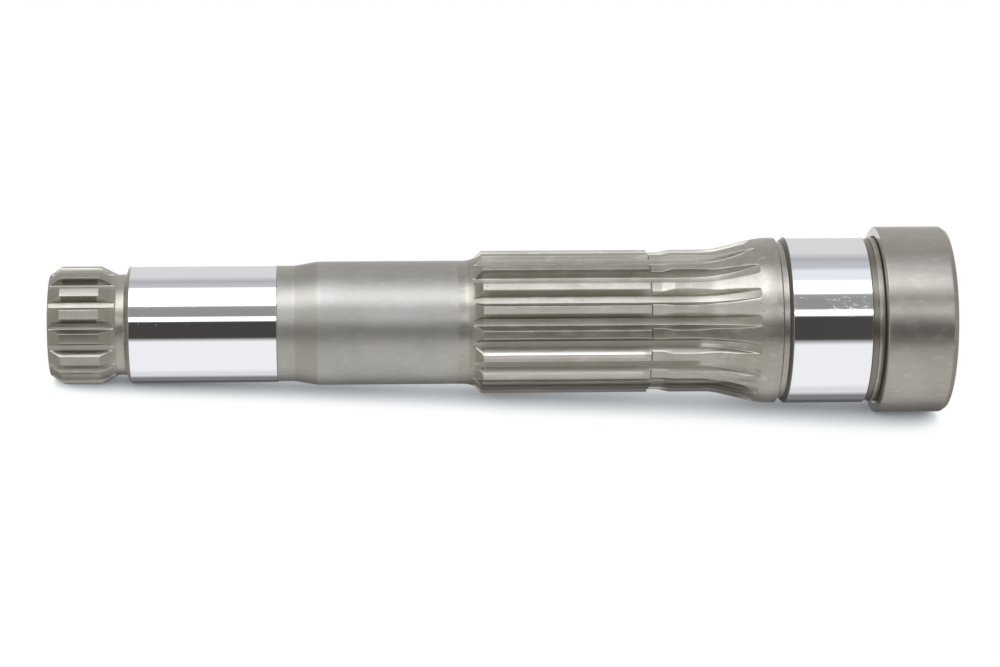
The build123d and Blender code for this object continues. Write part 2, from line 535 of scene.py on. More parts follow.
@dataclass
class Outline:
    """A chain of outline points, as radius and height, whose corners may be softened."""

    corners: list[tuple[float, float, float]] = field(default_factory=list)
    corner_steps: int = 3
    blend_steps: int = 8
    blend_from: float = 1.0
    support_share: float = 2.0
    support_room: float = 1.5

    def to(self, radius: float, height: float, soften: float = 0.0) -> "Outline":
        """Adds a point.

        Args:
            radius: its distance from the axis.
            height: its height.
            soften: how far from the corner its rounding starts.

        Returns:
            The same outline, for the next point.
        """
        self.corners.append((radius, height, soften))
        return self

    def chain(self) -> list[Point]:
        """Rounds the softened corners.

        Returns:
            The points in order, with a supporting point on both sides of each small rounding.
        """
        points: list[Point] = []
        last = len(self.corners) - 1
        for index, (radius, height, soften) in enumerate(self.corners):
            if index in (0, last) or soften == 0:
                points.append((radius, height))
                continue
            corner = np.array((radius, height))
            before, after = (self._arm(index, step) for step in (-1, 1))
            reach = min(soften, before[1], after[1])
            start, end = corner + before[0] * reach, corner + after[0] * reach
            support = reach * (1 + self.support_share)
            is_blend = soften >= self.blend_from
            if not is_blend and before[1] > support * self.support_room:
                points.append(tuple(corner + before[0] * support))
            steps = self.blend_steps if is_blend else self.corner_steps
            for share in np.linspace(0, 1, steps + 1):
                points.append(tuple(bent(start, corner, end, share)))
            if not is_blend and after[1] > support * self.support_room:
                points.append(tuple(corner + after[0] * support))
        return points

    def _arm(self, index: int, step: int) -> tuple[np.ndarray, float]:
        """Gives the direction to a neighbouring corner and the length that may be used."""
        here = np.array(self.corners[index][:2])
        there = np.array(self.corners[index + step][:2])
        length = float(np.linalg.norm(there - here))
        shared = self.corners[index + step][2] > 0
        return (there - here) / length, length * (0.5 if shared else 1.0)


def bent(start: np.ndarray, corner: np.ndarray, end: np.ndarray, share: float) -> np.ndarray:
    """Gives a point of the quadratic curve that rounds a corner."""
    return start * (1 - share) ** 2 + corner * 2 * share * (1 - share) + end * share**2


def with_crossings(chain: list[Point], axis: int, values: list[float]) -> list[Point]:
    """Adds points to a chain where it crosses given radii or heights.

    Args:
        chain: points of radius and height.
        axis: 0 for radii and 1 for heights.
        values: the radii or heights to cross.

    Returns:
        The chain with a point at each crossing.
    """
    points = [chain[0]]
    for start, end in zip(chain, chain[1:]):
        low, high = sorted((start[axis], end[axis]))
        inside = [value for value in values if low + CROSSING_GAP < value < high - CROSSING_GAP]
        shares = sorted((value - start[axis]) / (end[axis] - start[axis]) for value in inside)
        for share in shares:
            points.append(tuple(a + (b - a) * share for a, b in zip(start, end)))
        points.append(end)
    return points


class GeometryTool:
    """A Geometry Nodes tree with named inputs, run once on a mesh."""

    name = "tool"
    inputs: dict[str, str] = {}

    def __init__(self) -> None:
        """Builds the tree."""
        self.tree = bpy.data.node_groups.new(self.name, "GeometryNodeTree")
        face = self.tree.interface
        face.new_socket(name="Geometry", in_out="INPUT", socket_type="NodeSocketGeometry")
        for name, kind in self.inputs.items():
            face.new_socket(name=name, in_out="INPUT", socket_type=kind)
        face.new_socket(name="Geometry", in_out="OUTPUT", socket_type="NodeSocketGeometry")
        self.graph = Graph(self.tree)
        given = self.graph.node("NodeGroupInput")
        self.given = {socket.name: Wire(self.graph, socket) for socket in given.outputs if socket.name}
        shape = self.shaped()
        real = self.graph.wire("GeometryNodeRealizeInstances", None, {"Geometry": shape})
        merged = self.graph.wire(
            "GeometryNodeMergeByDistance", None, {"Geometry": real, "Distance": SEAM_DISTANCE}
        )
        dressed = self.graph.wire(
            "GeometryNodeSetMaterial", None, {"Geometry": merged, "Material": self.given["Steel"]}
        )
        self.graph.node("NodeGroupOutput", None, {0: dressed})

    def shaped(self) -> Wire:
        """Adds the nodes that make the shape.

        Returns:
            The shape's geometry.
        """
        raise NotImplementedError

    def run(self, mesh: bpy.types.Mesh, **values: object) -> bpy.types.Mesh:
        """Runs the tree on a mesh.

        Args:
            mesh: the mesh that goes in.
            values: the named inputs, with underscores for spaces.

        Returns:
            A new plain mesh.
        """
        holder = linked(mesh.name, mesh)
        modifier = holder.modifiers.new(self.name, "NODES")
        modifier.node_group = self.tree
        for item in self.tree.interface.items_tree:
            key = item.name.replace(" ", "_").lower()
            if item.in_out == "INPUT" and key in values:
                modifier[item.identifier] = values[key]
        depsgraph = bpy.context.evaluated_depsgraph_get()
        made = bpy.data.meshes.new_from_object(holder.evaluated_get(depsgraph))
        holder.modifiers.remove(modifier)
        bpy.data.objects.remove(holder)
        return made


class TurningTool(GeometryTool):
    """Sweeps a chain of outline points once round the Z axis."""

    name = "turning"
    inputs = {"Divisions": "NodeSocketInt", "First Turn": "NodeSocketFloat", "Steel": "NodeSocketMaterial"}

    def shaped(self) -> Wire:
        """Bends a grid, with one column for each angle and one row for each outline point.

        Returns:
            The turned surface.
        """
        graph, given = self.graph, self.given
        count = graph.wire(
            "GeometryNodeAttributeDomainSize",
            {"component": "MESH"},
            {"Geometry": given["Geometry"]},
            output="Point Count",
        )
        columns = given["Divisions"] + 1.0
        grid = graph.wire("GeometryNodeMeshGrid", None, {"Vertices X": columns, "Vertices Y": count})
        index = graph.wire("GeometryNodeInputIndex")
        column = ((index + 0.5) / count).floor()
        row = index - column * count
        sampled = graph.wire(
            "GeometryNodeSampleIndex",
            {"data_type": "FLOAT_VECTOR", "domain": "POINT"},
            {
                "Geometry": given["Geometry"],
                "Value": graph.wire("GeometryNodeInputPosition"),
                "Index": row,
            },
        )
        split = graph.node("ShaderNodeSeparateXYZ", None, {0: sampled})
        radius, height = Wire(graph, split.outputs[0]), Wire(graph, split.outputs[2])
        angle = given["First Turn"] + column * tau / given["Divisions"]
        place = graph.wire(
            "ShaderNodeCombineXYZ",
            None,
            {0: radius * angle.math("COSINE", angle), 1: radius * angle.math("SINE", angle), 2: height},
        )
        return graph.wire("GeometryNodeSetPosition", None, {"Geometry": grid, "Position": place})


class IndexingTool(GeometryTool):
    """Repeats one tooth space round the Z axis, as the dividing head does."""

    name = "indexing"
    inputs = {"Teeth": "NodeSocketInt", "First Turn": "NodeSocketFloat", "Steel": "NodeSocketMaterial"}

    def shaped(self) -> Wire:
        """Puts the tooth space on one point for each tooth and turns it.

        Returns:
            The instances, all round.
        """
        graph, given = self.graph, self.given
        points = graph.wire("GeometryNodePoints", None, {"Count": given["Teeth"]})
        index = graph.wire("GeometryNodeInputIndex")
        angle = given["First Turn"] + index * tau / given["Teeth"]
        euler = graph.wire("ShaderNodeCombineXYZ", None, {2: angle})
        rotation = graph.wire("FunctionNodeEulerToRotation", None, {0: euler})
        return graph.wire(
            "GeometryNodeInstanceOnPoints",
            None,
            {"Points": points, "Instance": given["Geometry"], "Rotation": rotation},
        )


class Workshop:
    """The tools and finishes that every stretch is made with."""

    def __init__(self) -> None:
        """Sets up both tools and the shelf of finishes."""
        self.turning = TurningTool()
        self.indexing = IndexingTool()
        self.finishes = FinishShelf()

    def turned(
        self, name: str, chain: list[Point], finish: Finish, divisions: int, first_turn: float = 0.0
    ) -> bpy.types.Mesh:
        """Turns a chain of points into a skin.

        Args:
            name: the skin's name.
            chain: its points of radius and height, in millimetres.
            finish: how it is finished.
            divisions: how many facets it has round the axis.
            first_turn: where the first facet starts, in radians.

        Returns:
            The skin.
        """
        mesh = bpy.data.meshes.new(name)
        places = [(radius * MM, 0.0, height * MM) for radius, height in chain]
        mesh.from_pydata(places, [(i, i + 1) for i in range(len(places) - 1)], [])
        steel = self.finishes.take(finish)
        return self.turning.run(mesh, divisions=divisions, first_turn=first_turn, steel=steel)

    def indexed(
        self, name: str, rows: list[np.ndarray], teeth: int, first_turn: float, finish: Finish
    ) -> bpy.types.Mesh:
        """Repeats one tooth space round the axis.

        Args:
            name: the skin's name.
            rows: the points of one tooth space, row by row along the axis.
            teeth: how many teeth there are.
            first_turn: where the first space is, in radians.
            finish: how it is finished.

        Returns:
            The skin.
        """
        width = len(rows[0])
        faces = [
            (row * width + k, row * width + k + 1, (row + 1) * width + k + 1, (row + 1) * width + k)
            for row in range(len(rows) - 1)
            for k in range(width - 1)
        ]
        mesh = bpy.data.meshes.new(name)
        mesh.from_pydata((np.concatenate(rows) * MM).tolist(), [], faces)
        steel = self.finishes.take(finish)
        return self.indexing.run(mesh, teeth=teeth, first_turn=first_turn, steel=steel)


@dataclass
class ToothForm:
    """An involute spline's tooth spaces, with a flat root, rounded root corners and soft crown edges."""

    module: float
    teeth: int
    root_modules: float
    root_corner: float = 0.18
    crown_edge: float = 0.07
    open_height: float = 1.8
    path_steps: int = 60
    root_columns: tuple[float, ...] = (0.0, 0.66, 0.78, 0.89, 1.0)
    rounding_steps: int = 8
    flank_columns: tuple[float, ...] = (0.12, 0.6, 1.0)
    edge_columns: tuple[float, ...] = (0.5, 1.0)
    crown_columns: tuple[float, ...] = (0.25, 1.0)
    root_share: float = 0.6
    edge_share: float = 0.25
    rounding_end: float = 0.98
    clearance: float = 1e-3

    def __post_init__(self) -> None:
        """Works out the radii and the cutter's half outline."""
        self.crown_radius = self.module * (self.teeth + TIP_MODULES) / 2
        self.root_radius = self.module * (self.teeth - self.root_modules) / 2
        self.half_pitch = pi / self.teeth
        self.half_floor = self.root_radius * sin(self._space_angle(self.root_radius))
        self.cutter = self._cutter()

    @property
    def columns(self) -> int:
        """How many facets one tooth space and its half teeth have across."""
        lists = (self.flank_columns, self.edge_columns, self.crown_columns)
        return 2 * (len(self.root_columns) - 1 + sum(len(one) for one in lists))

    def _space_angle(self, radius: float) -> float:
        """Half the angle of the tooth space at a radius."""
        base_radius = self.module * self.teeth / 2 * cos(PRESSURE_ANGLE)
        tooth = self.half_pitch / 2 + involute(PRESSURE_ANGLE) - involute(acos(base_radius / radius))
        return self.half_pitch - tooth

    def _cutter(self) -> np.ndarray:
        """Half the outline of a tooth space centred on +X, from the middle of its root outwards."""
        radii = np.linspace(self.root_radius, self.crown_radius + self.open_height, self.path_steps)
        flank = [(r * cos(self._space_angle(r)), r * sin(self._space_angle(r))) for r in radii]
        corner, mouth = np.array(flank[0]), np.array(flank[-1])
        corner[0] = self.root_radius
        start = corner - np.array((0.0, self.root_corner))
        rise = (mouth - corner) / np.linalg.norm(mouth - corner)
        kept = [point for point in flank if np.linalg.norm(np.array(point) - corner) > self.root_corner]
        on_flank = (np.array(kept[0]) - corner) * self.rounding_end if kept else rise * self.root_corner
        end = corner + on_flank
        rounding = [bent(start, corner, end, share) for share in np.linspace(0, 1, self.rounding_steps + 1)]
        return np.array([(self.root_radius, 0.0), *rounding, *kept])

    def space(self, limit: float, lift: Callable | None = None) -> np.ndarray | None:
        """Gives one row of points across a tooth space.

        Args:
            limit: the turned radius at this height.
            lift: moves the cutter's outline outwards where the hob lifts out.

        Returns:
            The points across, or nothing where the cutter stays clear of the turned surface.
        """
        path = lift(self.cutter) if lift else self.cutter
        reach = np.hypot(path[:, 0], path[:, 1])
        if reach[0] >= limit - self.clearance:
            return None
        lengths = along(path)
        cut = float(np.interp(limit, reach, lengths))
        crossing = point_at(path, lengths, cut)
        cross_angle = atan2(crossing[1], crossing[0])
        crown_arc = (self.half_pitch - cross_angle) * limit
        edge = min(self.crown_edge, self.edge_share * cut, self.edge_share * crown_arc)
        root_end = min(lengths[self.rounding_steps + 1], self.root_share * (cut - edge))
        half = [point_at(path, lengths, share * root_end) for share in self.root_columns]
        flank_span = cut - edge - root_end
        half += [point_at(path, lengths, root_end + share * flank_span) for share in self.flank_columns]
        edge_angle = cross_angle + edge / limit
        on_crown = limit * np.array((cos(edge_angle), sin(edge_angle)))
        flank_end = half[-1]
        half += [bent(flank_end, crossing, on_crown, share) for share in self.edge_columns]
        crown_span = self.half_pitch - edge_angle
        angles = [edge_angle + share * crown_span for share in self.crown_columns]
        half += [limit * np.array((cos(angle), sin(angle))) for angle in angles]
        return mirrored(np.array(half))

    def plain(self, limit: float, like: np.ndarray | None, evenness: float) -> np.ndarray:
        """Gives one row of points on a turned surface.

        Args:
            limit: the turned radius.
            like: a row whose angles it starts from.
            evenness: 1 for even angles, 0 for those of the other row.

        Returns:
            The points across.
        """
        angles = np.linspace(-self.half_pitch, self.half_pitch, self.columns + 1)
        if like is not None:
            other = np.arctan2(like[:, 1], like[:, 0])
            angles = angles * evenness + other * (1 - evenness)
        return limit * np.stack((np.cos(angles), np.sin(angles)), axis=1)

    def rows(
        self, chain: list[Point], spread: float, cut_from: float = 0.0, lift_at: Callable | None = None
    ) -> list[np.ndarray]:
        """Gives the rows of one tooth space along a turned outline.

        Args:
            chain: the outline, as radius and height.
            spread: how far beyond the cut rows the columns become even.
            cut_from: the height below which nothing is cut.
            lift_at: gives the cutter's lift for a height.

        Returns:
            The rows, as points in space.
        """
        cuts = [
            self.space(radius, lift_at(height) if lift_at else None) if height >= cut_from else None
            for radius, height in chain
        ]
        travel = along(np.array(chain))
        cut_rows = [index for index, cut in enumerate(cuts) if cut is not None]
        made = []
        for index, (radius, height) in enumerate(chain):
            row = cuts[index]
            if row is None:
                nearest = min(cut_rows, key=lambda other: abs(travel[other] - travel[index]))
                evenness = min(1.0, abs(travel[nearest] - travel[index]) / spread)
                row = self.plain(radius, cuts[nearest], evenness)
            made.append(np.column_stack((row, np.full(len(row), height))))
        return made


def involute(angle: float) -> float:
    """The involute function of an angle."""
    return tan(angle) - angle


def along(path: np.ndarray) -> np.ndarray:
    """The length along a path at each of its points."""
    return np.concatenate(([0.0], np.cumsum(np.linalg.norm(np.diff(path, axis=0), axis=1))))


def point_at(path: np.ndarray, lengths: np.ndarray, length: float) -> np.ndarray:
    """The point of a path at a length along it."""
    return np.array([np.interp(length, lengths, path[:, axis]) for axis in (0, 1)])


def mirrored(half: np.ndarray) -> np.ndarray:
    """A row from one half tooth to the next, from its half that starts in the middle."""
    other = half[:0:-1] * np.array((1.0, -1.0))
    return np.concatenate((other, half))


@dataclass
class CentreHole:
    """A lathe centre in an end face."""

    pilot_radius: float = 2.0
    mouth_radius: float = 4.25
    depth: float = 9.0
    half_angle: float = radians(30)
    edge: float = 0.12

    def corners(self, face: float, inward: float) -> list[tuple[float, float, float]]:
        """Gives the hole's outline from its bottom to its mouth.

        Args:
            face: the height of the end face.
            inward: 1 if the hole goes up from the face, or -1 if it goes down.

        Returns:
            Points of radius, height and softening.
        """
        cone_depth = (self.mouth_radius - self.pilot_radius) / tan(self.half_angle)
        return [
            (0.0, face + inward * self.depth, 0.0),
            (self.pilot_radius, face + inward * self.depth, 0.0),
            (self.pilot_radius, face + inward * cone_depth, self.edge),
            (self.mouth_radius, face, self.edge),
        ]


@dataclass
class Stretch:
    """One stretch of the shaft, from its base height upwards."""

    base: float
    facets: int = 396

    def skins(self, workshop: Workshop) -> list[bpy.types.Mesh]:
        """Makes the stretch's skins.

        Args:
            workshop: the tools and finishes.

        Returns:
            The skins, each with its own finish.
        """
        raise NotImplementedError


@dataclass
class Collar(Stretch):
    """The thrust collar, with the undercut corner, seat band and grinding relief above it."""

    radius: float = 28.0
    length: float = 21.0
    end_chamfer: Point = (1.0, 1.4)
    edge_chamfer: float = 0.35
    face_inner_radius: float = 25.3
    undercut_radius: float = 24.3
    undercut_depth: float = 0.2
    undercut_length: float = 0.55
    seat_radius: float = 24.7
    seat_length: float = 1.45
    relief_radius: float = 24.3
    relief_length: float = 1.8
    wall_radius: float = 24.75
    hole: CentreHole = field(default_factory=CentreHole)

    @property
    def top(self) -> float:
        """Where the large journal starts."""
        return self.base + self.length + self.undercut_length + self.seat_length + self.relief_length

    def skins(self, workshop: Workshop) -> list[bpy.types.Mesh]:
        """Makes the collar's skin."""
        face = self.base + self.length
        seat = face + self.undercut_length
        relief = seat + self.seat_length
        outline = Outline(self.hole.corners(self.base, 1.0))
        outline.to(self.radius - self.end_chamfer[0], self.base, 0.2)
        outline.to(self.radius, self.base + self.end_chamfer[1], 0.25)
        outline.to(self.radius, face - self.edge_chamfer, 0.1)
        outline.to(self.radius - self.edge_chamfer, face, 0.1)
        outline.to(self.face_inner_radius, face, 0.08)
        outline.to(self.undercut_radius, face - self.undercut_depth, 0.12)
        outline.to(self.seat_radius, seat)
        outline.to(self.seat_radius, relief, 0.06)
        outline.to(self.relief_radius, relief)
        outline.to(self.relief_radius, self.top)
        outline.to(self.wall_radius, self.top)
        return [workshop.turned("collar", outline.chain(), Finish.COARSE, self.facets)]


@dataclass
class Journal(Stretch):
    """A mirror-ground bearing seat, with a small edge at its base and a lead-in at its top."""

    radius: float = 25.0
    length: float = 23.7
    edge: float = 0.25
    lead_length: float = 0.95
    lead_depth: float = 0.9
    mirror_margin: float = 0.12

    @property
    def lead_base(self) -> float:
        """Where the lead-in starts."""
        return self.base + self.length

    @property
    def top(self) -> float:
        """Where the lead-in ends."""
        return self.lead_base + self.lead_length

    def skins(self, workshop: Workshop) -> list[bpy.types.Mesh]:
        """Makes the mirror and its matte edges."""
        mirror_base = self.base + self.edge + self.mirror_margin
        mirror_top = self.lead_base - self.mirror_margin
        foot = Outline().to(self.radius - self.edge, self.base)
        foot.to(self.radius, self.base + self.edge).to(self.radius, mirror_base)
        mirror = Outline().to(self.radius, mirror_base).to(self.radius, mirror_top)
        lead = Outline().to(self.radius, mirror_top).to(self.radius, self.lead_base, 0.1)
        lead.to(self.radius - self.lead_depth, self.top)
        return [
            workshop.turned("journal_foot", foot.chain(), Finish.COARSE, self.facets),
            workshop.turned("journal_mirror", mirror.chain(), Finish.GROUND, self.facets),
            workshop.turned("journal_lead", lead.chain(), Finish.COARSE, self.facets),
        ]


@dataclass
class SnapRingGroove(Stretch):
    """The snap ring groove and the land above it."""

    lead_radius: float = 24.1
    groove_radius: float = 23.55
    groove_length: float = 1.95
    land_radius: float = 24.85
    land_length: float = 4.7
    land_edge: float = 0.2
    flare_margin: float = 2.8

    @property
    def top(self) -> float:
        """Where the flare starts."""
        return self.base + self.groove_length + self.land_length

    def skins(self, workshop: Workshop) -> list[bpy.types.Mesh]:
        """Makes the groove's skin."""
        land = self.base + self.groove_length
        outline = Outline().to(self.lead_radius, self.base, 0.0)
        outline.to(self.groove_radius, self.base, 0.12)
        outline.to(self.groove_radius, land, 0.12)
        outline.to(self.land_radius - self.land_edge, land)
        outline.to(self.land_radius, land + self.land_edge, 0.08)
        outline.to(self.land_radius, self.top - self.flare_margin)
        return [workshop.turned("snap_ring_groove", outline.chain(), Finish.COARSE, self.facets)]


@dataclass
class MainSpline(Stretch):
    """The flare and the long spline, whose tooth spaces run up the flare where the hob lifted out."""

    form: ToothForm = field(default_factory=lambda: ToothForm(2.25, 18, 1.2))
    land_radius: float = 24.85
    flare_margin: float = 2.8
    flare_length: float = 14.4
    flare_blend: float = 2.4
    hob_lift_height: float = 8.2
    flute_end_height: float = 0.9
    flute_widening: float = 0.42
    flute_corner: float = 0.75
    crown_ramp_height: float = 12.7
    crown_ramp_length: float = 3.4
    crown_relief_length: float = 3.5
    crown_relief_depth: float = 0.78
    step_lean: float = 0.02
    crown_length: float = 49.6
    crown_foot_radius: float = 19.2
    shank_radius: float = 18.5
    fillet_length: float = 3.55
    fillet_steps: int = 8
    shank_margin: float = 1.6
    flute_rows: int = 22
    spread: float = 1.5
    flute_row_power: float = 1.7
    flute_samples: int = 4000
    run_out_step: float = 0.03

    @property
    def crown_top(self) -> float:
        """Where the full tooth crowns end."""
        ramp = self.base + self.flare_length + self.crown_ramp_height
        return ramp + self.crown_ramp_length + self.crown_relief_length + self.crown_length

    @property
    def top(self) -> float:
        """Where the fillet has reached the shank."""
        return self.crown_top + self.form.crown_radius - self.crown_foot_radius + self.fillet_length

    @property
    def lift_height(self) -> float:
        """Where the hob starts to lift out."""
        return self.base + self.flare_length + self.hob_lift_height

    @property
    def hob_radius(self) -> float:
        """The hob's radius, from the length and the height of its run-out."""
        length = self.lift_height - self.base - self.flute_end_height
        rise = self.land_radius - self.form.root_radius
        return (length**2 + rise**2) / (2 * rise)

    def _floor_radius(self, height: float) -> float:
        """How far the hob's arc has lifted the flutes' floor at a height."""
        drop = max(0.0, self.lift_height - height)
        return self.form.root_radius + self.hob_radius - (self.hob_radius**2 - drop**2) ** 0.5

    def _flute_end(self, chain: list[Point]) -> float:
        """The height at which the flutes' floor comes out of the flare."""
        heights = np.linspace(self.base, self.lift_height, self.flute_samples)
        flare = np.interp(heights, [point[1] for point in chain], [point[0] for point in chain])
        floors = np.array([self._floor_radius(height) for height in heights])
        return float(heights[np.argmax(floors < flare)])

    def _lift(self, height: float, flute_end: float) -> Callable | None:
        """Gives what the hob's arc does to its outline at a height.

        Args:
            height: the height.
            flute_end: where the flutes end.

        Returns:
            A function that moves the outline, or nothing where the teeth are straight.
        """
        drop = self.lift_height - height
        if drop <= 0:
            return None
        centre = self.form.root_radius + self.hob_radius
        lift = self._floor_radius(height) - self.form.root_radius
        nearness = min(1.0, max(0.0, 1 - (height - flute_end) / self.flute_corner))
        corner = self.flute_corner * (1 - (1 - nearness**2) ** 0.5)
        widening = self.flute_widening * lift / (self.land_radius - self.form.root_radius) - corner

        def lifted(path: np.ndarray) -> np.ndarray:
            """Moves the outline outwards along the hob's arc and widens it."""
            shifted = centre - np.sqrt((centre - path[:, 0]) ** 2 - drop**2)
            across = path[:, 1] + widening * np.minimum(1.0, path[:, 1] / self.form.half_floor)
            return np.column_stack((shifted, across))

        return lifted

    def _chain(self) -> list[Point]:
        """The turned outline, with rows where the flutes and roots run out."""
        crown, relief = self.form.crown_radius, self.form.crown_radius - self.crown_relief_depth
        flare_top = self.base + self.flare_length
        ramp = flare_top + self.crown_ramp_height
        ramp_top = ramp + self.crown_ramp_length
        step = ramp_top + self.crown_relief_length
        foot = self.crown_top + crown - self.crown_foot_radius
        outline = Outline().to(self.land_radius, self.base - self.flare_margin)
        outline.to(self.land_radius, self.base, self.flare_blend)
        outline.to(crown, flare_top, self.flare_blend)
        outline.to(crown, ramp, 0.3)
        outline.to(relief, ramp_top, 0.3)
        outline.to(relief, step - self.step_lean, 0.1)
        outline.to(crown, step + self.step_lean, 0.12)
        outline.to(crown, self.crown_top, 0.15)
        outline.to(self.crown_foot_radius, foot)
        chain = outline.chain()
        start = np.array(chain[-1])
        corner = np.array((self.shank_radius, foot + self.fillet_length / 2))
        end = np.array((self.shank_radius, self.top))
        for share in np.linspace(0, 1, self.fillet_steps + 1)[1:]:
            chain.append(tuple(bent(start, corner, end, share)))
        chain.append((self.shank_radius, self.top + self.shank_margin))
        flute_end = self._flute_end(chain)
        run = self.lift_height - flute_end
        shares = [(index / self.flute_rows) ** self.flute_row_power for index in range(self.flute_rows + 1)]
        flute_heights = [flute_end + run * share for share in shares]
        chain = with_crossings(chain, 1, [flute_end - self.run_out_step, *flute_heights])
        root = self.form.root_radius
        return with_crossings(chain, 0, [root, root + self.run_out_step])

    def skins(self, workshop: Workshop) -> list[bpy.types.Mesh]:
        """Makes the flare's and the spline's skin."""
        chain = self._chain()
        flute_end = self._flute_end(chain)
        rows = self.form.rows(chain, self.spread, lift_at=lambda height: self._lift(height, flute_end))
        first = self.form.half_pitch
        return [workshop.indexed("main_spline", rows, self.form.teeth, first, Finish.HOBBED)]


@dataclass
class Shank(Stretch):
    """The plain shank, its taper and the relief beside the small journal."""

    radius: float = 18.5
    start_margin: float = 1.6
    length: float = 43.3
    taper_length: float = 6.6
    taper_blend: float = 1.35
    relief_radius: float = 17.3
    relief_length: float = 5.2
    wall_radius: float = 17.35

    @property
    def top(self) -> float:
        """Where the small journal starts."""
        return self.base + self.length + self.taper_length + self.relief_length

    def skins(self, workshop: Workshop) -> list[bpy.types.Mesh]:
        """Makes the shank's skin."""
        taper = self.base + self.length
        outline = Outline().to(self.radius, self.base + self.start_margin)
        outline.to(self.radius, taper, self.taper_blend)
        outline.to(self.relief_radius, taper + self.taper_length, self.taper_blend)
        outline.to(self.relief_radius, self.top)
        outline.to(self.wall_radius, self.top)
        return [workshop.turned("shank", outline.chain(), Finish.TURNED, self.facets)]


@dataclass
class NeckShoulder(Stretch):
    """The small face between the lead-in of the small journal and the neck."""

    outer_radius: float = 16.75
    inner_radius: float = 16.4

    def skins(self, workshop: Workshop) -> list[bpy.types.Mesh]:
        """Makes the face's outer ring."""
        outline = Outline().to(self.outer_radius, self.base).to(self.inner_radius, self.base)
        return [workshop.turned("neck_shoulder", outline.chain(), Finish.TURNED, self.facets)]


@dataclass
class EndSpline(Stretch):
    """The neck and the short end spline, chamfered on both sides."""

    form: ToothForm = field(default_factory=lambda: ToothForm(2.25, 15, 1.5))
    turn: float = radians(4.7)
    crown_radius: float = 17.45
    face_radius: float = 16.1
    neck_radius: float = 15.0
    neck_length: float = 3.2
    neck_corner: float = 0.8
    inner_chamfer: float = 4.8
    crown_length: float = 11.5
    outer_chamfer: float = 3.7
    rim: float = 0.5
    spread: float = 0.5
    root_levels: tuple[float, ...] = (0.0, 0.045, 0.12, 0.3, 0.7, 1.3)
    hole: CentreHole = field(default_factory=CentreHole)

    @property
    def top(self) -> float:
        """The end face."""
        spline = self.base + self.neck_length
        return spline + self.inner_chamfer + self.crown_length + self.outer_chamfer

    def skins(self, workshop: Workshop) -> list[bpy.types.Mesh]:
        """Makes the skins of the neck with the teeth, and of the end face."""
        spline = self.base + self.neck_length
        crown = spline + self.inner_chamfer
        outline = Outline().to(self.face_radius, self.base)
        outline.to(self.neck_radius + self.neck_corner, self.base, 0.1)
        outline.to(self.neck_radius, self.base + self.neck_corner, 0.25)
        outline.to(self.neck_radius, spline, 0.12)
        outline.to(self.crown_radius, crown, 0.15)
        outline.to(self.crown_radius, crown + self.crown_length, 0.15)
        outline.to(self.neck_radius, self.top, 0.12)
        outline.to(self.neck_radius - self.rim, self.top)
        levels = [self.form.root_radius + level for level in self.root_levels]
        rows = self.form.rows(with_crossings(outline.chain(), 0, levels), self.spread, cut_from=spline)
        face = Outline(self.hole.corners(self.top, -1.0)).to(self.neck_radius - self.rim, self.top)
        facets = self.form.columns * self.form.teeth
        first = self.turn - self.form.half_pitch
        return [
            workshop.indexed("end_spline", rows, self.form.teeth, self.turn, Finish.HOBBED),
            workshop.turned("end_face", face.chain(), Finish.TURNED, facets, first),
        ]


@dataclass
class MachineShaft:
    """The whole shaft, sewn from its stretches."""

    name: str = "machine_shaft"
    workshop: Workshop = field(default_factory=Workshop)

    def stretches(self) -> list[Stretch]:
        """Gives the stretches, from the bottom up."""
        collar = Collar(0.0)
        large = Journal(collar.top)
        groove = SnapRingGroove(large.top)
        spline = MainSpline(groove.top)
        shank = Shank(spline.top)
        small = Journal(
            shank.top, radius=17.5, length=43.6, edge=0.15, lead_length=0.75, lead_depth=0.75
        )
        shoulder = NeckShoulder(small.top)
        end = EndSpline(small.top)
        return [collar, large, groove, spline, shank, small, shoulder, end]

    def build(self) -> bpy.types.Object:
        """Makes the shaft's one object.

        Returns:
            The closed, dressed piece.
        """
        whole = bmesh.new()
        materials: list[bpy.types.Material] = []
        stretches = self.stretches()
        for stretch in stretches:
            skins = stretch.skins(self.workshop)
            for skin in skins:
                self._add(whole, skin, materials)
            LOG.info("%s: %d skins from %.3f mm", type(stretch).__name__, len(skins), stretch.base)
        bmesh.ops.remove_doubles(whole, verts=whole.verts, dist=SEAM_DISTANCE * 2)
        shoulder, end = stretches[-2:]
        sew(whole, ring(whole, shoulder.inner_radius, shoulder.base), ring(whole, end.face_radius, end.base))
        bmesh.ops.recalc_face_normals(whole, faces=whole.faces)
        open_edges = sum(1 for edge in whole.edges if len(edge.link_faces) != 2)
        mesh = bpy.data.meshes.new(self.name)
        whole.to_mesh(mesh)
        whole.free()
        for material in materials:
            mesh.materials.append(material)
        mesh.shade_smooth()
        mesh.set_sharp_from_angle(angle=SHARP_ANGLE)
        piece = linked(self.name, mesh)
        mesh.calc_loop_triangles()
        LOG.info("%s: %d triangles, %d open edges", self.name, len(mesh.loop_triangles), open_edges)
        return piece

    @staticmethod
    def _add(whole: bmesh.types.BMesh, skin: bpy.types.Mesh, materials: list[bpy.types.Material]) -> None:
        """Adds a skin to the whole and gives its faces its material's number."""
        start = len(whole.faces)
        whole.from_mesh(skin)
        material = next(slot for slot in skin.materials if slot)
        if material not in materials:
            materials.append(material)
        for face in whole.faces[start:]:
            face.material_index = materials.index(material)
        bpy.data.meshes.remove(skin)


def ring(mesh: bmesh.types.BMesh, radius: float, height: float) -> list[bmesh.types.BMVert]:
    """Gives the points on one circle round the axis, in order of their angle."""
    found = [
        vertex
        for vertex in mesh.verts
        if abs(vertex.co.z - height * MM) < SEAM_DISTANCE
        and abs(vertex.co.xy.length - radius * MM) < SEAM_DISTANCE
    ]
    return sorted(found, key=lambda vertex: atan2(vertex.co.y, vertex.co.x))


